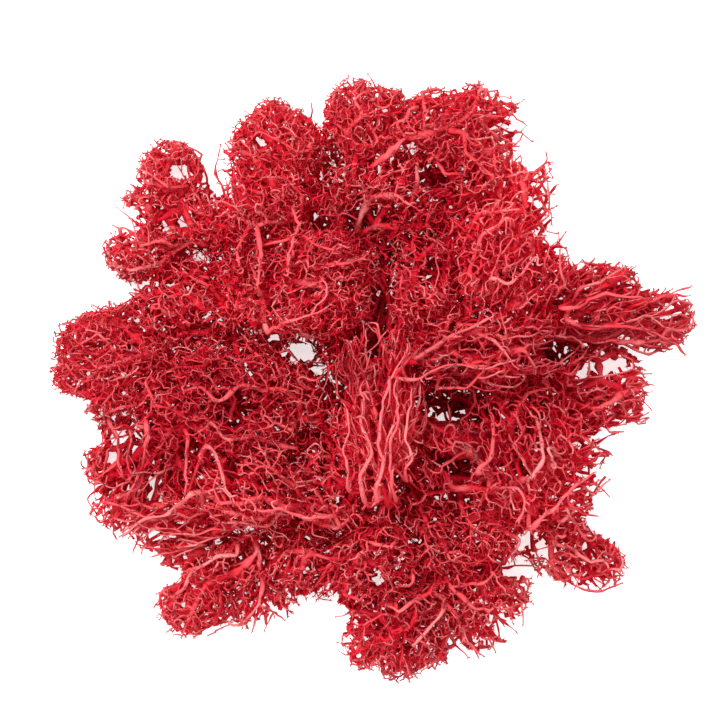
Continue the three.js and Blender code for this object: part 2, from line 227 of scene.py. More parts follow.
def settle(points, radii, runs, owners):
    """Bends the runs of different tufts clear of each other, in place, and lifts all above the surface."""
    starts, ends = runs.T
    middles = (points[starts] + points[ends]) / 2
    halves = np.linalg.norm(points[starts] - points[ends], axis=1) / 2
    one, two = np.triu_indices(len(runs), 1)
    apart = np.linalg.norm(middles[one] - middles[two], axis=1)
    near = (apart < halves[one] + halves[two] + SURROUNDINGS) & (owners[starts[one]] != owners[starts[two]])
    a0, a1, b0, b1 = starts[one[near]], ends[one[near]], starts[two[near]], ends[two[near]]
    thick = np.maximum(radii[a0], radii[a1]) + np.maximum(radii[b0], radii[b1])
    clear = MAIN_ALLOWANCE * thick + STEM_GAP
    lowest = FLOOR_PRESS * radii
    lies = points[:, 2] < FOOT_REACH
    for _ in range(SETTLING_STEPS):
        points[:, 2] = np.where(lies, lowest, np.maximum(points[:, 2], lowest))
        s, t, gaps = closest_passes(points[a0], points[a1], points[b0], points[b1])
        widths = np.linalg.norm(gaps, axis=1)
        lacks = clear - widths
        if lacks.max() < SETTLED:
            break
        tight = lacks > 0
        pushes = (gaps * (lacks / (2 * np.maximum(widths, PARALLEL)))[:, None])[tight]
        s, t = s[tight], t[tight]
        np.add.at(points, a0[tight], pushes * (1 - s))
        np.add.at(points, a1[tight], pushes * s)
        np.add.at(points, b0[tight], pushes * (t - 1))
        np.add.at(points, b1[tight], -pushes * t)


def grow_main():
    """The main branches of every tuft: its knots, their order and the knot before each.

    They come with the shift that brings the crowns to where the solid tufts are.
    """
    knots, grown = [], []
    for owner, name in enumerate(NAMES):
        own = draw_knots(owner, knots)
        order, before = link_knots(np.array(own), TUFTS[name][1])
        own_places = slice(len(knots), len(knots) + len(own))
        grown.append({"places": own_places, "order": order, "before": before})
        knots += own
    points = np.array(knots)
    radii = np.zeros(len(points))
    owners = np.zeros(len(points), int)
    runs = []
    for owner, tuft in enumerate(grown):
        radii[tuft["places"]] = MAIN_TIP_RADIUS * tips_of(tuft["order"], tuft["before"]) ** MAIN_GIRTH_POWER
        owners[tuft["places"]] = owner
        first = tuft["places"].start
        runs += [(first + k, first + i) for i, k in enumerate(tuft["before"]) if k >= 0]
    settle(points, radii, np.array(runs), owners)
    middles = []
    for name, tuft in zip(NAMES, grown):
        tuft["knots"] = points[tuft["places"]]
        low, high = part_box(name)
        solid = np.array(low + high) * METRE / 2
        middles.append(solid - (tuft["knots"].min(axis=0) + tuft["knots"].max(axis=0)) / 2)
    shift = np.median(middles, axis=0) * [1, 1, 0]
    for tuft in grown:
        tuft["knots"] += shift
    return grown, shift


tufts, shift = grow_main()

# ---- Long stems ----
# Some tufts were torn off together with their long lower stems, which lie bare on top of the heap. Each
# comes up from among the branches, runs along the surface in slow waves, and is narrowest at its end.

# The tuft that each stem grows from, its width at its base, how deep it lies under the tops of the crowns,
# and its places seen from above.
STEMS = (
    ("left_fringe", 0.83, 3.2, (-52.2, -7), (-51.2, -11), (-51.4, -15.5), (-50.2, -18.5)),
    ("left_fringe", 1, 3.2, (-44.2, -6.5), (-43.8, -10.5), (-45.2, -14.5), (-46.2, -18.5)),
    ("left_fringe", 0.89, 3.2, (-36.2, -8.5), (-36.2, -13.5), (-36.4, -18.5), (-38, -22)),
    ("left_fringe", 0.66, 3.2, (-48.2, -9.5), (-49, -14.5), (-47.8, -18.5)),
    ("lower_left_shoulder", 0.89, 1.2, (-32.8, -11.5), (-31.2, -16.1), (-29.8, -20.5), (-27.4, -23.5)),
    (
        "lower_left_shoulder", 1, 0.2, (-33, -22), (-37.8, -23.9), (-41.8, -25.9), (-45.8, -27.9),
        (-49.8, -29.9),
    ),
    (
        "lower_left_shoulder", 0.72, 0.2, (-41, -27.5), (-46, -26.5), (-50.5, -25.5), (-54, -24.5),
        (-56.8, -26.5),
    ),
    (
        "lower_left_middle", 0.77, 0.2, (-6.8, -26.5), (-11.4, -25.9), (-15.8, -25.5), (-22.8, -25.3),
        (-26.5, -23),
    ),
    (
        "middle_front", 1, 0.2, (-0.4, -25.5), (-1.2, -18.5), (-0.6, -14.5), (-1.4, -9.5),
        (-0.6, -4.5), (-1.8, 0.5),
    ),
    (
        "middle_front", 0.83, 0.2, (2, -24.5), (1.6, -17.5), (0.6, -12.5), (1.2, -6.5), (3.2, -1.5),
        (5.2, 3.5), (7.2, 7.5),
    ),
    ("middle_front", 0.83, 0.2, (4.8, -24.5), (4.2, -18.5), (3.8, -10.5), (4.2, -4.5), (5.2, 1.5)),
    ("middle_front", 0.66, 1.2, (7.8, -20.5), (7.6, -14.5), (6.6, -10.5), (7.2, -5.5), (8.6, -1)),
    ("middle_front", 0.66, 1.2, (-3.6, -22.5), (-4.8, -15.5), (-4.4, -9.5), (-5.8, -3.5)),
    ("middle_slant", 1.05, 0.2, (8.2, 4.5), (11.2, 7.5), (14.2, 9.3), (18.2, 10.5), (22.4, 12.4)),
    ("middle_slant", 0.72, 0.2, (4.2, 0.5), (10.2, 1.9), (15.2, 3.5), (22.2, 3.1), (28, 4)),
    ("middle_slant", 0.66, 1.2, (12.2, -2.1), (17.2, -0.5), (20, 0.5), (24, 2.5)),
    ("lower_right_net", 1, 0.2, (31.6, -29), (35.2, -24.5), (38.2, -21.9), (41.2, -19.5), (43, -17)),
    ("lower_right_net", 0.72, 1.2, (24.2, -20.5), (28.5, -21), (29.4, -24.5), (29, -28)),
    ("upper_left_dome", 0.94, 1.2, (-22.8, 31.5), (-21.4, 26.5), (-21.4, 22.5), (-22, 19)),
    ("upper_left_dome", 0.72, 1.2, (-25, 30.5), (-25.4, 26), (-25.2, 22)),
    ("upper_left_dome", 0.83, 1.2, (-15.8, 35.5), (-14.6, 30.5), (-15.8, 25.5), (-16.8, 21.5)),
    ("middle_left_dome", 0.61, 0.2, (-13.8, 29.1), (-8.8, 26.1), (-3.8, 25.5)),
    ("middle_left_dome", 0.66, 0.2, (-9.8, 21.5), (-4.8, 23.1), (-0.8, 25.5)),
    ("right_arm", 0.89, 1.2, (37, 14.5), (41, 16), (44.2, 16.5), (48.6, 17.1), (54.2, 16)),
    ("right_arm", 0.94, 1.2, (38, 12), (44.2, 11.1), (51.2, 11.5), (57.2, 10.5), (61, 7.2), (63.4, 5.9)),
    ("right_arm", 0.66, 1.2, (50.2, 14.5), (54.2, 15.5), (59.8, 17.5), (64.2, 18.4)),
    ("lower_right_side", 0.5, 4.2, (38.5, -23.5), (41.2, -24.7), (44.4, -26.3)),
    ("lower_right_side", 0.45, 4.2, (38.5, -24.5), (41.4, -27.7), (42.8, -30.5), (44.8, -32)),
)
STEM_STEP = 1.2  # between the points of a stem
STEM_WANDER = 0.18  # how far those points stray sideways
STEM_WAVE = 1.7  # the height of its waves at their highest
STEM_WAVE_GRAIN = 0.17  # waves to a millimetre, about
STEM_DRIFT = 7.3  # in the noise for waves, from one stem to the next
STEM_FIRST = 0.5  # the share of it before the first stem
STEM_SIDES = (0.5, 5.5)  # in that noise, for waves along X and along Y
STEM_SPREAD = 1.25  # how much wider the crowns are for a stem that lies on them
STEM_DIP = 3.5  # how far below the surface a stem starts
STEM_RISE = 1.5  # points over which it comes up
STEM_TAPER = 0.6  # share of its width that it has lost at its end


def offsets_in(ovals, half_sizes, spots):
    """Where each spot is in each oval, seen from above: how many half sizes it is from the middle."""
    return (spots[:, None, :2] - shift[:2] - ovals[:, :2]) / half_sizes


def noises_at(spots):
    """Smooth noise at each spot, between about -1 and 1."""
    return np.array([noise.noise(spot) for spot in spots])


def tops_over(spots, spread):
    """How high the heap is over each spot, with its crowns spread by that factor."""
    outs = offsets_in(EVERY_CROWN, spread * EVERY_CROWN[:, 3:5], spots)
    rises = np.sqrt(np.maximum(0, 1 - (outs * outs).sum(axis=2)))
    return ((EVERY_CROWN[:, 2] + EVERY_CROWN[:, 5] * rises) * (rises > 0)).max(axis=1)


def add_stems(owner, points, before, draw):
    """Adds the tuft's long stems to its points, and returns the least girth of each point too."""
    girths = [0.0] * len(points)
    grown = np.array(points)
    for number, (name, width, sunk, *places) in enumerate(STEMS):
        if name != NAMES[owner]:
            continue
        places = np.array(places) + shift[:2]
        ways = np.concatenate([[0], np.cumsum(np.linalg.norm(np.diff(places, axis=0), axis=1))])
        count = round(ways[-1] / STEM_STEP) + 1
        steps = np.linspace(0, ways[-1], count)
        lane = np.column_stack([np.interp(steps, ways, places[:, 0]), np.interp(steps, ways, places[:, 1])])
        lane += draw.normal(0, STEM_WANDER, lane.shape)
        drift = STEM_DRIFT * (number + STEM_FIRST)
        turns = steps * STEM_WAVE_GRAIN
        waves = [noises_at([(turn, drift, side) for turn in turns]) for side in STEM_SIDES]
        lane += STEM_WAVE * np.transpose(waves)
        dips = STEM_DIP * np.exp(-np.arange(count) / STEM_RISE)
        stem = np.column_stack([lane, tops_over(lane, STEM_SPREAD) - sunk - dips])
        start = int(np.linalg.norm(grown - stem[0], axis=1).argmin())
        for k, place in enumerate(stem):
            points.append(place)
            before.append(start)
            start = len(points) - 1
            girths.append(width / 2 * (1 - STEM_TAPER * k / count))
    return np.array(points), before, girths


# ---- Gaps and bays ----
# The heap is full of holes. The surface that it lies on shows through some, others end in the dark among
# lower branches, and notches and bays run in between the lobes of its outline. No fine branch grows there.

# The middle of each gap, its half sizes seen from above, and the height that branches keep under there,
# which is 0 where the gap goes right through.
BARE = np.array((
    (-15, 6.2, 3.6, 2.7, 0), (47.8, 3, 5.8, 2.4, 0), (15.4, -7.5, 1.6, 1, 0), (-49.8, 32.7, 3.6, 3.4, 0),
    (-47.9, -12.4, 1.9, 4, 0), (31.5, -32.4, 3.1, 2.4, 0), (-37.6, 32.4, 2, 2.3, 0),
    (-38.6, 42.4, 3, 1.8, 0), (-44.4, -30.9, 2.2, 1.8, 0), (-40.2, -39.4, 2.2, 2.4, 0),
    (-51.5, -11.6, 1.9, 2.3, 0), (61, 14.6, 1.8, 2.6, 0), (-21.8, 47.8, 2, 1.5, 0),
    (-52.8, -15.8, 1.7, 1.9, 0), (-34.9, -12.5, 1.3, 2.1, 0), (-44.1, -23, 1.5, 1.7, 0),
    (35.8, -34.5, 2.4, 2.4, 0), (43.1, 0.8, 1.4, 1.9, 0), (27, -6.9, 1.4, 1.4, 0),
    (-19.7, 8.5, 1.3, 1.7, 0), (-41.8, 32.3, 1.4, 1.8, 0), (1.3, -40.1, 1.3, 1.5, 0),
    (-11.2, 2.5, 2, 1.3, 0), (-43.5, -20, 1.5, 1.4, 0), (-31, 42.5, 3.4, 6.5, 0), (33.5, 53, 8, 10, 0),
    (29.5, 60, 6, 5, 0), (40.5, 35, 9, 12, 0), (63, 2.5, 8, 5.5, 0), (61, 20.5, 7, 3, 0),
    (59.5, -3, 5, 9, 0), (53, -19, 12, 10, 0), (43, -46, 11, 6.5, 0), (31, -54, 10, 9, 0),
    (-8, -49.5, 4.5, 7, 0), (-19.5, -50, 6, 5, 0), (-50, -40, 6, 7, 0), (-54, -35, 9, 6, 0),
    (-60, -24, 5.5, 5, 0), (2.2, 15.5, 2.2, 6.5, 8), (-0.2, 7.9, 2.6, 3.4, 8), (-7, -1.5, 3, 4, 9),
    (15.4, -5.5, 5.5, 3.4, 6), (-27.4, -5.5, 2.6, 4.4, 8), (-1.4, 32.5, 4.4, 2.7, 9),
    (-10.2, 32, 3, 2.5, 10), (29.6, -16.5, 1.8, 3.5, 6), (12.2, 40.9, 4, 3, 10), (37, 6.3, 4.4, 3, 6),
    (12, 22, 2.4, 3, 12), (17.5, -19, 3, 6, 12),
))
BARE_EDGE = 1.07  # how ragged the edge of a gap is
FRINGE_FROM = 47  # how far out from the middle of the heap branches count as near the outline
BAY_GRAIN = 0.14  # bays to a millimetre of the outline, about
BAY_FROM = 0.95  # how far out in the crowns the outline lies
BAY_DEPTH = 0.45  # and how far its bays run in and its lobes out


def are_over(spots, ovals):
    """Whether each spot lies within each oval, seen from above. The edges are ragged."""
    outs = np.linalg.norm(offsets_in(ovals, ovals[:, 2:4], spots), axis=2)
    return outs < 1 + BARE_EDGE * noises_at(spots)[:, None]


def outs_in_crowns(spots):
    """How far out in each crown each spot is, seen from above, from 0 in its middle to 1 at its edge."""
    return np.linalg.norm(offsets_in(EVERY_CROWN, EVERY_CROWN[:, 3:5], spots), axis=2)


def rims_of(spots):
    """How far out each spot is, seen from above: 0 well inside the heap, and about 1 at its outline."""
    near_outline = np.hypot(spots[:, 0], spots[:, 1]) > FRINGE_FROM
    return np.where(near_outline, outs_in_crowns(spots).min(axis=1), 0)


def not_bare(spots):
    """The spots that lie in no gap and in no bay of the outline."""
    bays = noises_at(spots * [BAY_GRAIN, BAY_GRAIN, 0])
    bare = are_over(spots, BARE) & (spots[:, 2:3] > BARE[:, 4])
    return spots[~bare.any(axis=1) & (rims_of(spots) < BAY_FROM + BAY_DEPTH * bays)]


# ---- Litter ----
# Torn ends and crumbs of the tufts lie all over the bottom of the heap. They have tangled into a thin mat
# there, and in four places they have piled up against the tufts. Each belongs to the nearest tuft.

LOWEST_FORK = 0.35  # the least height of a fine fork
LITTER_HALF_SIZES = (66, 63)  # of the field of litter
LITTER_TOP = 26
LITTER_SHARE = 0.75  # share of the height of the heap that litter reaches
LITTER_SPREAD = 1.25  # how much wider the crowns are for the litter that they cover
LITTER_DRAWS = 220000  # spots drawn, of which about one in seven is kept
LITTER_SINKING = 2  # above 1, the litter is closest at the bottom
LITTER_SKIN = 0.93  # litter keeps this far inside a crown, seen from above
LITTER_OVERLAP = 1.22  # or this near to two of them
LITTER_CELL = 1.2  # one fork of litter at most to a cube of this size
LITTER_REACH = 9  # from a main branch to the litter that belongs to it
MAT_TOP = 6  # up to here the litter lies inside the crowns too
# The middle of each pile, its half sizes seen from above, and its height.
PILES = np.array(((3, -26, 10, 4.5, 26), (-16, -27, 12, 3.5, 22), (30, -29, 8, 4, 14), (17, -33, 6, 4, 16)))


def first_in_cells(spots, sizes):
    """The numbers of the first spot in each cell of those sizes."""
    cells = np.floor(spots / sizes[:, None])
    _, firsts = np.unique(np.column_stack([cells, sizes]), axis=0, return_index=True)
    return np.sort(firsts)


def draw_litter(main_tree, main_owners, draw):
    """The forks of the litter, and the tuft that each belongs to."""
    half_x, half_y = LITTER_HALF_SIZES
    low, high = np.array([-half_x, -half_y, LOWEST_FORK]), np.array([half_x, half_y, LITTER_TOP])
    spots = low + (high - low) * draw.random((LITTER_DRAWS, 3)) ** [1, 1, LITTER_SINKING]
    outs = np.sort(outs_in_crowns(spots), axis=1)
    spots = spots[(outs[:, 0] < LITTER_SKIN) | (outs[:, 1] < LITTER_OVERLAP)]
    outside = depths_in(EVERY_CROWN, spots - shift).min(axis=1) > 1
    covered = spots[:, 2] < LITTER_SHARE * tops_over(spots, LITTER_SPREAD)
    covered |= (are_over(spots, PILES) & (spots[:, 2:3] < PILES[:, 4])).any(axis=1)
    spots = spots[covered & (outside | (spots[:, 2] < MAT_TOP))]
    spots = not_bare(spots[first_in_cells(spots, np.full(len(spots), LITTER_CELL))])
    found = [main_tree.find(spot) for spot in spots]
    near = np.array([gap < LITTER_REACH for _, _, gap in found])
    return spots[near], main_owners[[index for _, index, _ in found]][near]


# ---- Fine branches ----
# Between its main branches each tuft is filled with fine ones, a millimetre or two from fork to fork. They
# leave the main branches and each other at easy angles, are stouter and sparser deep in the heap, and thin
# out towards the skin of the crowns.

STEP = 1.4  # between the points of a main branch
WANDER = 0.2  # how far those points stray from a straight line
# One fine fork at most to a cube of this size: usually, in an open net and in a bushy head.
FORK_CELLS = (1.08, 1.24, 0.98)
INNER_CELL = 1.85  # the same deep in the heap
# Tufts whose branches form an open net, and tufts that end in close, bushy heads.
NETS = (
    "left_fringe", "lower_left_shoulder", "right_net", "middle_slant", "middle_front", "right_arm",
    "right_hollow", "lower_right_net", "lower_right_side", "lower_left_middle",
    "under_left", "under_lower", "under_right", "under_top", "under_middle", "under_upper_right",
)
HEADS = (
    "left_head", "top_left_head", "top_middle_head", "upper_left_dome", "middle_left_dome",
    "middle_right_crest", "right_shoulder", "upper_left_arm",
)
# How much longer the meshes of a tuft are along its grain than across it, and the tufts that stream.
GRAIN = 1.15
NET_GRAIN = 1.5
STREAMING = {"middle_front": 1.9, "left_fringe": 1.7, "lower_left_shoulder": 1.6, "right_arm": 1.7}
INSIDE = 0.68  # crown depth below which branches are inner ones
FLANK = 0.92  # the same in the lower half of the heap
BURIED = 10  # depth under the top of the heap below which branches are inner ones too
DRAWS_PER_POINT = 60  # spots drawn for fine forks round each point of a main branch
REACH = 4.2  # from a main branch to the fine forks round it
SKIN = 1.02  # crown depth at which a tuft ends
CLOSE_REACH = 1.2  # forks this near a main branch may lie outside the crowns
PIT_GRAIN = 0.17  # small pits to a millimetre, about
PIT = -0.55  # the nearer to 0, the more of them
RAGGED_FROM = 0.8  # crown depth from which there are more of them, towards the skin
RAGGED = 1.2  # how fast they get more
NEIGHBOURS = 14  # forks that may be reached from another one
LONGEST_RUN = 4.2  # from fork to fork
TURN_COST = 0.05  # how much a branch avoids sharp turns
STRAIGHTNESS_SHARE = 0.15  # of the straightness of the tuft, for its fine branches
STREAMING_SHARE = 0.5  # the same for tufts that stream
FINE_FORKS = 3  # branches that leave a point
SMOOTHING = 0.25  # share of a kink that is taken out


def divide(owner, tuft, draw):
    """The points along a tuft's main branches and stems, the one before each, and their least girths."""
    points, before, last_of = [tuft["knots"][0]], [-1], {0: 0}
    for i in tuft["order"][1:]:
        k = last_of[tuft["before"][i]]
        start, end = points[k], tuft["knots"][i]
        steps = max(1, round(float(np.linalg.norm(end - start)) / STEP))
        for step in range(1, steps + 1):
            stray = draw.normal(0, WANDER, 3) * (step < steps)
            points.append(start + (end - start) * step / steps + stray)
            before.append(k)
            k = len(points) - 1
        last_of[i] = k
    return add_stems(owner, points, before, draw)


def tree_of(points):
    """The points in a tree that finds the nearest ones."""
    tree = kdtree.KDTree(len(points))
    for i, point in enumerate(points):
        tree.insert(point, i)
    tree.balance()
    return tree


def by_habit(name, usual, net, head):
    """Which of three values a tuft has, by the way that it grows."""
    return net if name in NETS else head if name in HEADS else usual


def grain_of(owner):
    """The matrix that shortens a tuft along its grain, which runs from its root to its crowns."""
    name = NAMES[owner]
    grain = CROWNS[owner][:, :3].mean(axis=0) - TUFTS[name][0]
    grain /= np.linalg.norm(grain)
    stretch = STREAMING.get(name, NET_GRAIN if name in NETS else GRAIN)
    return np.eye(3) - (1 - 1 / stretch) * np.outer(grain, grain)


def are_inner(spots, owner):
    """Whether each spot lies well inside a crown of the tuft, or under much of the heap."""
    depths = depths_in(CROWNS[owner], spots - shift).min(axis=1)
    tops = tops_over(spots, 1)
    low = (spots[:, 2] < tops / 2) & (depths < FLANK)
    return (depths < INSIDE) | (spots[:, 2] < tops - BURIED) | low


def draw_forks(owner, points, main_tree, main_owners, draw):
    """Spots for the fine forks of a tuft: round its main branches, and not in another tuft."""
    count = len(points) * DRAWS_PER_POINT
    ways_out = draw.normal(size=(count, 3))
    ways_out /= np.linalg.norm(ways_out, axis=1, keepdims=True)
    # The cube root spreads them evenly through a ball.
    outs = REACH * draw.random((count, 1)) ** (1 / 3)
    spots = points[draw.integers(len(points), size=count)] + ways_out * outs
    spots = spots[spots[:, 2] > LOWEST_FORK]
    depths = depths_in(CROWNS[owner], spots - shift).min(axis=1)
    sizes = np.where(are_inner(spots, owner), INNER_CELL, by_habit(NAMES[owner], *FORK_CELLS))
    firsts = first_in_cells(spots @ grain_of(owner), sizes)
    kept = []
    for spot, depth in zip(spots[firsts], depths[firsts]):
        _, nearest, gap = main_tree.find(spot)
        if main_owners[nearest] == owner and (depth < SKIN or gap < CLOSE_REACH):
            least = PIT + RAGGED * max(0, min(depth, 1) - RAGGED_FROM)
            if noise.noise(spot * PIT_GRAIN) > least:
                kept.append(spot)
    return not_bare(np.array(kept))


def grow_fine(points, before, forks, straightness, grain):
    """Reaches the forks from the main branches. Returns all points, their order and the one before each."""
    everything = np.vstack([points, forks])
    places = (everything @ grain).tolist()
    tree = tree_of(places)
    before = before + [None] * len(forks)
    way = [0.0] * len(places)
    heading = [(0.0, 0.0, 0.0)] * len(places)
    leaving = [0] * len(places)
    order = []
    offers = []

    def add(i):
        """Takes a point in, and offers a way from it to each free fork near by."""
        order.append(i)
        k = before[i]
        if k >= 0:
            run = [a - b for a, b in zip(places[i], places[k])]
            length = math.hypot(*run)
            way[i] = way[k] + length
            heading[i] = tuple(a / length for a in run)
            leaving[k] += 1
        x, y, z = places[i]
        ahead_x, ahead_y, ahead_z = heading[i]
        for spot, other, gap in tree.find_n(places[i], NEIGHBOURS):
            if before[other] is None and gap < LONGEST_RUN:
                ahead = ahead_x * (spot[0] - x) + ahead_y * (spot[1] - y) + ahead_z * (spot[2] - z)
                cost = gap + TURN_COST * (gap - ahead) + straightness * way[i]
                heapq.heappush(offers, (cost, other, i))

    for i in range(len(points)):
        add(i)
    while offers:
        _, i, k = heapq.heappop(offers)
        if before[i] is None and leaving[k] < FINE_FORKS:
            before[i] = k
            add(i)
    return everything, order, before


def follow_branches(order, before, tips):
    """The branches of a tuft, each a list of points. The first is where it leaves another one."""
    children = {i: [] for i in order}
    for i in order:
        if before[i] >= 0:
            children[before[i]].append(i)
    for own in children.values():
        own.sort(key=lambda i: -tips[i])
    branches = []
    starts = [(order[0], child) for child in children[order[0]]]
    while starts:
        path = list(starts.pop())
        while children[path[-1]]:
            main, *sides = children[path[-1]]
            starts += [(path[-1], side) for side in sides]
            path.append(main)
        branches.append(path)
    return branches


def smooth(points, branches):
    """Evens out the kinks along each branch."""
    ahead = np.full(len(points), -1)
    behind = np.full(len(points), -1)
    for path in branches:
        ahead[path[1:-1]] = path[2:]
        behind[path[1:-1]] = path[:-2]
    inner = np.flatnonzero(ahead >= 0)
    points[inner] += SMOOTHING * ((points[ahead[inner]] + points[behind[inner]]) / 2 - points[inner])


def dress_tufts():
    """Every tuft with its fine branches: its points, tips, branches, inner points and least girths."""
    draw = np.random.default_rng(SEED)
    divided = [divide(owner, tuft, draw) for owner, tuft in enumerate(tufts)]
    main_tree = tree_of(np.vstack([points for points, _, _ in divided]))
    main_owners = np.repeat(np.arange(len(NAMES)), [len(points) for points, _, _ in divided])
    litter, litter_owners = draw_litter(main_tree, main_owners, draw)
    result = []
    for owner, (points, before, stems) in enumerate(divided):
        forks = draw_forks(owner, points, main_tree, main_owners, draw)
        forks = np.vstack([forks, litter[litter_owners == owner]])
        share = STREAMING_SHARE if NAMES[owner] in STREAMING else STRAIGHTNESS_SHARE
        straightness = TUFTS[NAMES[owner]][1] * share
        points, order, before = grow_fine(points, before, forks, straightness, grain_of(owner))
        tips = tips_of(order, [-1 if k is None else k for k in before])
        branches = follow_branches(order, before, tips)
        smooth(points, branches)
        stems = np.concatenate([stems, np.zeros(len(points) - len(stems))])
        result.append((points, tips, branches, are_inner(points, owner), stems))
    return result


dressed = dress_tufts()

# ---- Dye, and painted shade and light ----
# The lichen is dyed right through, and unevenly from patch to patch. Its tone is painted shade and
# light: darker the deeper a branch lies under the top of the heap, and paler on the outside and on the bare
# stems that lie on top.

TOP_CELL = 1.6  # the size of the cells in which the top of the heap is measured
TOP_REACH = 100  # from the middle of the heap to the last of them
# Painted shade and light: tones get darker the deeper a branch lies under the top of the heap, and the top
# and the outline are lighter.
FADING = 4.5  # depth under the top over which tones get darker
RIM_SHARE = 0.6  # how much of the tone of the top the outline has
DEEP_TONE = 0.12  # the tone deep in the heap
PAINTED_LIGHT_TONE = 0.6  # how much more the top has
TONE_NOISE = 0.12  # how uneven tones are
TONE_GRAIN = 0.11  # changes of tone to a millimetre, about
PALE_TUFTS = ("middle_front", "middle_slant", "lower_left_shoulder", "right_arm", "lower_left_middle")
PALE_TONE = 0.06
STEM_TONE = -0.1  # long stems are in full light, and would look too pale
DYE_TONE = 0.35  # how much of a patch's dye shows in its tone
# Patches where the dye is paler or deeper: the middle of each seen from above, its half width, and its
# share, which is below 0 where it is deeper. The deepest lie mostly over pits and gaps in the heap, where
# they are painted shade; the others are uneven dye.
PATCHES = np.array((
    (-29.5, -1, 7, -0.3), (-5, 2.5, 4, -0.4), (-1.5, 31, 4.5, -0.3), (12, 27, 4, -0.25),
    (14, 5.5, 5.5, -0.26), (33, 6, 5, -0.3), (17, 41, 4.5, -0.3), (17, -8, 5, -0.28),
    (11.8, -23, 4.5, -0.3), (45, -4, 8, -0.06), (28, -14, 8, -0.1), (-45, -14, 7, -0.14),
    (-24, 25, 6, -0.18), (12, -45, 9, -0.1), (48, 17, 7, -0.08), (3, 28, 4, -0.16), (-14, -23, 5, -0.16),
    (-60, 4, 5, -0.1), (60, 12, 5, -0.15), (22, -20, 5, -0.1), (24.5, 39, 5, 0.4), (-15.5, 44, 6, 0.14),
    (-35, 31, 6, 0.12), (-24, 12, 5.5, 0.24), (-8.5, 12.5, 4, 0.3), (8, -11, 3, 0.3), (1.5, -24, 5, 0.28),
    (-18, -33, 5, 0.2), (31, -31, 8, 0.24), (-54, -3, 6, 0.08), (1, -9, 6, 0.12), (10, 14, 4.5, 0.18),
    (4, 45, 5, 0.18), (-36, -38, 6, 0.12), (-32, -22, 4, 0.1),
))
PATCH_STRENGTH = 0.88  # what a share of 1 changes the dye by
USUAL_DYE = 0.54
DEEPEST_DYE = 0.12


def top_cells(points):
    """The cells of the heap's plan that points lie in."""
    return tuple(((points[:, :2] + TOP_REACH) / TOP_CELL).astype(int).T)


def top_heights():
    """The height of the heap's top over each cell of its plan, evened out with the cells round it."""
    points = np.vstack([tuft[0] for tuft in dressed])
    across = math.ceil(2 * TOP_REACH / TOP_CELL) + 1
    heights = np.zeros((across, across))
    np.maximum.at(heights, top_cells(points), points[:, 2])
    shifted = [np.roll(heights, (i, j), (0, 1)) for i in (-1, 0, 1) for j in (-1, 0, 1)]
    return np.mean(shifted, axis=0)


top = top_heights()


def dyes_and_pit_shade_of(points):
    """1 where the dye took palest, USUAL_DYE over most of the clump, and DEEPEST_DYE at its deepest.

    The deepest patches lie mostly over pits and gaps, where they are painted shade.
    """
    ways = np.linalg.norm(points[:, None, :2] - shift[:2] - PATCHES[:, :2], axis=2) / PATCHES[:, 2]
    shares = (PATCHES[:, 3] * np.exp(-ways * ways / 2)).sum(axis=1)
    return np.clip(USUAL_DYE + PATCH_STRENGTH * shares, DEEPEST_DYE, 1)


def tones_of(name, points, dyes, stems):
    """0 deep inside the heap, up to 1 on its outside: painted shade under the top, painted light on it."""
    # Painted shade below the top of the heap, and painted light on the top and at the outline.
    painted_light_share = np.exp(-np.maximum(top[top_cells(points)] - points[:, 2], 0) / FADING)
    painted_light_share = np.maximum(painted_light_share, RIM_SHARE * rims_of(points))
    tones = DEEP_TONE + PAINTED_LIGHT_TONE * painted_light_share + TONE_NOISE * noises_at(points * TONE_GRAIN)
    tones += PALE_TONE * (name in PALE_TUFTS) + STEM_TONE * (stems > 0)
    return tones + DYE_TONE * (dyes - USUAL_DYE)


# ---- Branch surfaces ----
# A branch is round and tapers towards its tip, and is wider where it leaves its stem. It ends in two or
# three short spikes that spread like a small star, and has more of them along its sides.

# A branch's radius where it forks into its last spikes: usually, in an open net and in a bushy head.
TIP_RADII = (0.16, 0.185, 0.145)
INNER_TIP_RADIUS = 0.3  # the same deep in the heap
GIRTH_POWER = 0.25  # of the number of tips that a branch carries
THICKEST = 0.7  # apart from the long stems and the mat
GIRTH_NOISE = 0.2  # share of its radius by which a point is stouter or thinner
GIRTH_LIMIT = 2  # at most this many times that share
MAT_RADIUS = 0.65  # of the branches in the mat, at the bottom of the heap
MAT_FADING = 15  # the height at which nothing would be left of it
MAT_RIM = 0.7  # how far out the stout branches of the mat reach
RIM_RADIUS = 0.42  # the most that branches near the outline have
RIM_FROM = 0.6  # how far out branches begin to be stouter
RIM_GIRTH = 0.3  # how much stouter fine branches are at the outline
FLARE = 1.5  # the most that a branch widens where it leaves its stem
END_TAPER = 0.7  # share of its width that it has left at its end
THICK_STEM = 24  # tips that a branch carries to be drawn with more sides than a fine one
THICK_SIDES = 6
FINE_SIDES = 3
SPIKES_AT_TIP = 3
SIDE_SPIKE_SHARE = 0.5  # of the points along a branch
SPIKE_LENGTH = (0.45, 0.95)
SPIKE_RADIUS = 0.155
SPIKE_SPREAD = 0.625  # how far spikes turn away from the way that their branch grows
SIDE_SPIKE_AHEAD = 0.3  # how much a spike on the side of a branch keeps to that way
LOWEST_TIP = 0.05  # above the surface
TONE_SPREAD = 0.08  # between branches
DYE_SPREAD = 0.05  # between branches
BROWN_END = 0.1  # the very tips have dyes below this, and turn brown
# The upper side of a branch is paler, as painted top light: the rise of the normal at which it has its own
# dye and tone, and how much they change with it.
LEVEL_FOR_DYE = 0.6
LEVEL_FOR_TONE = 0.475
PAINTED_TOP_LIGHT_DYE = 0.2
PAINTED_TOP_LIGHT_TONE = 0.24
TONE_LIMITS = (0.01, 0.99)
MERGING = 1e-7  # metres
MM = 0.001  # metres


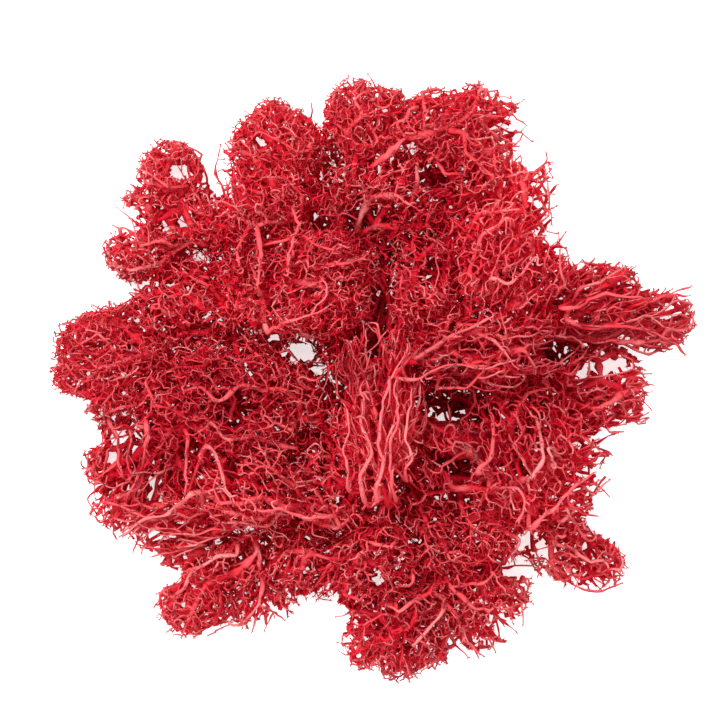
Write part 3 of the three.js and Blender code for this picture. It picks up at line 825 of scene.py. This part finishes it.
def girths_of(name, points, tips, inner, stems, draw):
    """The radius at each point of a tuft."""
    tip_radii = np.where(inner, INNER_TIP_RADIUS, by_habit(name, *TIP_RADII))
    girths = np.maximum(np.minimum(tip_radii * tips**GIRTH_POWER, THICKEST), stems)
    rims = rims_of(points)
    mat_girths = np.maximum(girths, MAT_RADIUS * (1 - points[:, 2] / MAT_FADING))
    girths = np.where(inner & (rims < MAT_RIM), mat_girths, girths)
    girths = np.where(rims < MAT_RIM, girths, np.minimum(girths, np.maximum(RIM_RADIUS, stems)))
    girths *= 1 + RIM_GIRTH * np.clip((rims - RIM_FROM) / (1 - RIM_FROM), 0, 1)
    noises = draw.normal(size=len(girths)).clip(-GIRTH_LIMIT, GIRTH_LIMIT)
    return girths * np.exp(GIRTH_NOISE * noises)


def rounded(values):
    """The values along a branch, with one more between each two, on the cubic through the four round it."""
    longer = np.concatenate([2 * values[:1] - values[1:2], values, 2 * values[-1:] - values[-2:-1]])
    # Halfway, the cubic has 9/16 of the two inner values less 1/16 of the two outer ones.
    between = (9 * (longer[1:-2] + longer[2:-1]) - longer[:-3] - longer[3:]) / 16
    result = np.empty((2 * len(values) - 1,) + values.shape[1:])
    result[::2] = values
    result[1::2] = between
    return result


def strands_of(name, points, tips, branches, inner, stems, draw):
    """The thick and the fine strands of a tuft, each with its points, radii, dyes and tones."""
    thick, fine = [], []
    dyes = dyes_and_pit_shade_of(points)
    tones = tones_of(name, points, dyes, stems)
    girths = girths_of(name, points, tips, inner, stems, draw)
    points[:, 2] = np.maximum(points[:, 2], girths)
    for path in branches:
        radii = girths[path]
        radii[0] = min(radii[0], FLARE * radii[1])
        radii[-1] *= 1 if inner[path[-1]] else END_TAPER
        own_dyes = np.clip(dyes[path] + draw.normal(0, DYE_SPREAD), DEEPEST_DYE, 1)
        own_tones = tones[path] + draw.normal(0, TONE_SPREAD)
        stout = tips[path[1]] > THICK_STEM or stems[path].any()
        plain = len(path) == 2 or inner[path].all() or not (stout or name in NETS)
        strand = [points[path], radii, own_dyes, own_tones]
        if not plain:
            strand = [rounded(values) for values in strand]
            strand[0][:, 2] = np.maximum(strand[0][:, 2], strand[1])
        (thick if stout else fine).append(strand)
        ahead = points[path[-1]] - points[path[-2]]
        ahead /= np.linalg.norm(ahead)
        spikes = [(path[-1], ahead, own_tones[-1])] * SPIKES_AT_TIP * (not inner[path[-1]])
        for i, tone in zip(path[1:-1], own_tones[1:-1]):
            if not inner[i] and draw.random() < SIDE_SPIKE_SHARE:
                spikes.append((i, SIDE_SPIKE_AHEAD * ahead, tone))
        for i, heading, tone in spikes:
            way = heading + SPIKE_SPREAD * draw.normal(0, 1, 3)
            end = points[i] + way * draw.uniform(*SPIKE_LENGTH) / np.linalg.norm(way)
            end[2] = max(end[2], LOWEST_TIP)
            spike = [points[i], end], [SPIKE_RADIUS, 0], [dyes[i], 0], [tone, tone]
            fine.append([np.array(values) for values in spike])
    return thick, fine


def put(name, data):
    """A new object with that data, in the scene."""
    made = bpy.data.objects.new(name, data)
    bpy.context.scene.collection.objects.link(made)
    return made


def section(sides):
    """The outline that is swept along the strands, a curve of that many sides."""
    curve = bpy.data.curves.new("section", "CURVE")
    spline = curve.splines.new("POLY")
    spline.points.add(sides - 1)
    turns = -np.arange(sides) * 2 * math.pi / sides
    ring = np.stack([np.cos(turns), np.sin(turns), 0 * turns, 1 + 0 * turns], axis=1)
    spline.points.foreach_set("co", ring.ravel())
    spline.use_cyclic_u = True
    return bpy.data.objects.new("section", curve)


def sweep(strands, sides):
    """The open tapering tubes of some strands, as one mesh."""
    curve = bpy.data.curves.new("strands", "CURVE")
    curve.dimensions = "3D"
    curve.bevel_mode = "OBJECT"
    curve.bevel_object = section(sides)
    for points, radii, _, _ in strands:
        spline = curve.splines.new("POLY")
        spline.points.add(len(points) - 1)
        spline.points.foreach_set("co", np.column_stack([points * MM, np.ones(len(points))]).ravel())
        spline.points.foreach_set("radius", radii * MM)
    holder = put("strands", curve)
    mesh = bpy.data.meshes.new_from_object(holder.evaluated_get(bpy.context.evaluated_depsgraph_get()))
    bpy.data.objects.remove(holder)
    return mesh


def lichen_mesh(name, thick, fine):
    """Round surfaces over all strands of a tuft, with the dye and tone of each place as its UV.

    Both are raised where the surface faces up, as painted top light.
    """
    shape = bmesh.new()
    values = []
    for strands, sides in ((thick, THICK_SIDES), (fine, FINE_SIDES)):
        if strands:
            shape.from_mesh(sweep(strands, sides))
            along = np.hstack([np.array(strand[2:]) for strand in strands])
            values.append(np.repeat(along, sides, axis=1))
    dye = shape.verts.layers.float.new("dye")
    tone = shape.verts.layers.float.new("tone")
    for vert, (own_dye, own_tone) in zip(shape.verts, np.hstack(values).T.tolist()):
        vert[dye] = own_dye
        vert[tone] = own_tone
    bmesh.ops.remove_doubles(shape, verts=shape.verts, dist=MERGING)
    rims = [edge for edge in shape.edges if edge.is_boundary]
    bmesh.ops.holes_fill(shape, edges=rims, sides=THICK_SIDES)
    mesh = bpy.data.meshes.new(name)
    shape.to_mesh(mesh)
    shape.free()
    normals = np.zeros(3 * len(mesh.vertices), np.float32)
    mesh.vertices.foreach_get("normal", normals)
    rises = normals[2::3]
    corners = np.zeros(len(mesh.loops), int)
    mesh.loops.foreach_get("vertex_index", corners)
    places = np.zeros((2, len(mesh.vertices)))
    for place, kind in zip(places, ("dye", "tone")):
        mesh.attributes[kind].data.foreach_get("value", place)
        mesh.attributes.remove(mesh.attributes[kind])
    dyes, tones = places
    # Painted top light: places whose normals face up get a lighter dye and tone, apart from the brown ends.
    top_lit_dyes = np.clip(dyes + PAINTED_TOP_LIGHT_DYE * (rises - LEVEL_FOR_DYE), BROWN_END, 1)
    places[0] = np.where(dyes < BROWN_END, dyes, top_lit_dyes)
    places[1] = np.clip(tones + PAINTED_TOP_LIGHT_TONE * (rises - LEVEL_FOR_TONE), *TONE_LIMITS)
    mesh.uv_layers.new(name="OFBake").data.foreach_set("uv", places.T[corners].ravel())
    mesh.shade_smooth()
    return mesh


# ---- Finish ----
# Dried lichen is matt, slightly felted and finely crusted. It is wine red where dye and tone are deep and
# coral red where they are pale, which partly paints shade deep in the heap and light on its top and on the
# upper sides of branches. Its very tips are dark brown.


class Socket:
    """A value in a material. Sums, differences and products of such values are Math nodes."""

    def __init__(self, tree, output=None):
        self.tree = tree
        self.output = output

    def node(self, kind, settings=(), inputs=(), output=0):
        """The output of a new node, with its settings set first, then the values or links of its sockets."""
        made = self.tree.nodes.new(kind)
        for name, value in dict(settings).items():
            if name == "stops":
                ramp = made.color_ramp.elements
                ramp.remove(ramp[-1])
                ramp[0].position, ramp[0].color = value[0]
                for place, colour in value[1:]:
                    ramp.new(place).color = colour
            else:
                setattr(made, name, value)
        for name, value in dict(inputs).items():
            if isinstance(value, Socket):
                self.tree.links.new(value.output, made.inputs[name])
            else:
                made.inputs[name].default_value = value
        return Socket(self.tree, made.outputs[output])

    def math(self, operation, first, second):
        """The result of a Math node with two inputs."""
        return self.node("ShaderNodeMath", {"operation": operation}, {0: first, 1: second})

    def __add__(self, other):
        return self.math("ADD", self, other)

    def __radd__(self, other):
        return self.math("ADD", other, self)

    def __sub__(self, other):
        return self.math("SUBTRACT", self, other)

    def __rsub__(self, other):
        return self.math("SUBTRACT", other, self)

    def __mul__(self, other):
        return self.math("MULTIPLY", self, other)

    def __rmul__(self, other):
        return self.math("MULTIPLY", other, self)


# Its colours from the deepest tone to the palest, at a dye of 1 - LEAST_LIGHT. Low tones hold painted shade,
# high ones painted light.
TONES = (
    (0, (0.78, 0.001, 0.02, 1)),
    (0.4, (0.74, 0.02, 0.04, 1)),
    (0.75, (0.73, 0.11, 0.12, 1)),
    (1, (0.80, 0.245, 0.245, 1)),
)
BROWN = (0.16, 0.012, 0.012, 1)
LEAST_LIGHT = 0.44  # share of its colour that lichen of dye 0 keeps
BROWN_FADE = (0.02, 0.08)  # dyes between which brown turns red
FELT_SCALE = 1400  # to a metre
CRUST_SCALE = 420  # to a metre
CRUST_TONE = 0.16  # how much paler a high spot of the crust is than a low one
CRUST_HEIGHT = 2.5  # in heights of the felt
RELIEF = 0.00035  # metres
RELIEF_STRENGTH = 0.8
LEAST_ROUGHNESS = 0.55
FELT_ROUGHNESS = 0.3  # how much rougher a high spot of the felt is than a low one
SPECULAR = 0.06


def lichen_finish():
    """The material of all tufts. Its UV map gives the dye as U and the tone as V.

    Both carry painted shade and painted top light besides the lichen's own colour.
    """
    material = bpy.data.materials.new("dyed_lichen")
    material.use_nodes = True
    tree = material.node_tree
    tree.nodes.remove(tree.nodes["Principled BSDF"])
    start = Socket(tree)
    uv = start.node("ShaderNodeUVMap", {"uv_map": "OFBake"})
    dye = start.node("ShaderNodeSeparateXYZ", inputs={0: uv}, output="X")
    tone = start.node("ShaderNodeSeparateXYZ", inputs={0: uv}, output="Y")
    spot = start.node("ShaderNodeTexCoord", output="Object")
    felt = start.node("ShaderNodeTexNoise", inputs={"Vector": spot, "Scale": FELT_SCALE, "Detail": 3})
    crust = start.node("ShaderNodeTexNoise", inputs={"Vector": spot, "Scale": CRUST_SCALE, "Detail": 2})
    shade = tone + CRUST_TONE * (crust - 0.5)
    toned = start.node("ShaderNodeValToRGB", {"stops": TONES}, {"Fac": shade})
    scale = {"operation": "SCALE"}
    # The dye scales the colour, so its painted shade and painted top light darken or lighten it too.
    dyed_shaded_and_lit = start.node("ShaderNodeVectorMath", scale, {0: toned, "Scale": LEAST_LIGHT + dye})
    least, most = BROWN_FADE
    red = start.node("ShaderNodeMapRange", inputs={"Value": dye, "From Min": least, "From Max": most})
    # Inputs 6 and 7 and output 2 of this node are its colours.
    colour = start.node("ShaderNodeMix", {"data_type": "RGBA"}, {0: red, 6: BROWN, 7: dyed_shaded_and_lit}, 2)
    relief = {"Height": felt + CRUST_HEIGHT * crust, "Strength": RELIEF_STRENGTH, "Distance": RELIEF}
    surface = {
        "Base Color": colour,
        "Roughness": LEAST_ROUGHNESS + FELT_ROUGHNESS * felt,
        "Normal": start.node("ShaderNodeBump", inputs=relief),
        "Specular IOR Level": SPECULAR,
    }
    lichen = start.node("ShaderNodeBsdfPrincipled", inputs=surface)
    tree.links.new(lichen.output, tree.nodes["Material Output"].inputs["Surface"])
    return material


finish = lichen_finish()
surface_draw = np.random.default_rng(SEED + 1)
for name, tuft in zip(NAMES, dressed):
    mesh = lichen_mesh(name, *strands_of(name, *tuft, surface_draw))
    mesh.materials.append(finish)
    piece = put(name + "_lichen", mesh)
    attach(piece, "root")
    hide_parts(name)

# ---- Tabletop ----
# The clump lies loose on a flat table. A sheet of plain matt white card covers it, and is lit so evenly
# that it is almost pure white all over. Lengths from here on are in metres.

table_shape = bmesh.new()
bmesh.ops.create_grid(table_shape, x_segments=1, y_segments=1, size=2)
table_mesh = bpy.data.meshes.new("tabletop")
table_shape.to_mesh(table_mesh)
table_shape.free()
card = bpy.data.materials.new("white_card")
card.use_nodes = True
card_inputs = card.node_tree.nodes["Principled BSDF"].inputs
card_inputs["Base Color"].default_value = (0.92, 0.92, 0.92, 1)
card_inputs["Roughness"].default_value = 0.9
card_inputs["Emission Color"].default_value = (1, 1, 1, 1)
card_inputs["Emission Strength"].default_value = 0.65
table_mesh.materials.append(card)
tabletop = put("tabletop", table_mesh)

# ---- Light and camera ----
# Soft, even studio light from all round, with a round softbox to the upper left. The camera looks straight
# down from far enough away for a flat view.

world = bpy.data.worlds.new("studio")
world.use_nodes = True
world.node_tree.nodes["Background"].inputs["Color"].default_value = (1, 1, 1, 1)
world.node_tree.nodes["Background"].inputs["Strength"].default_value = 0.85
bpy.context.scene.world = world

lamp = bpy.data.lights.new("softbox", "AREA")
lamp.shape = "DISK"
lamp.size = 0.35
lamp.energy = 8.6
softbox = put("softbox", lamp)
softbox.location = (-0.25, 0.35, 0.8)
softbox.rotation_euler = softbox.location.to_track_quat("Z", "Y").to_euler()

view = bpy.data.cameras.new("view")
view.lens = 175
view.sensor_width = 36
view.clip_start = 0.01
view.clip_end = 10
camera = put("camera", view)
camera.location = (-0.0018, 0.0035, 0.718)
bpy.context.scene.camera = camera
bpy.context.scene.view_settings.view_transform = "Standard"
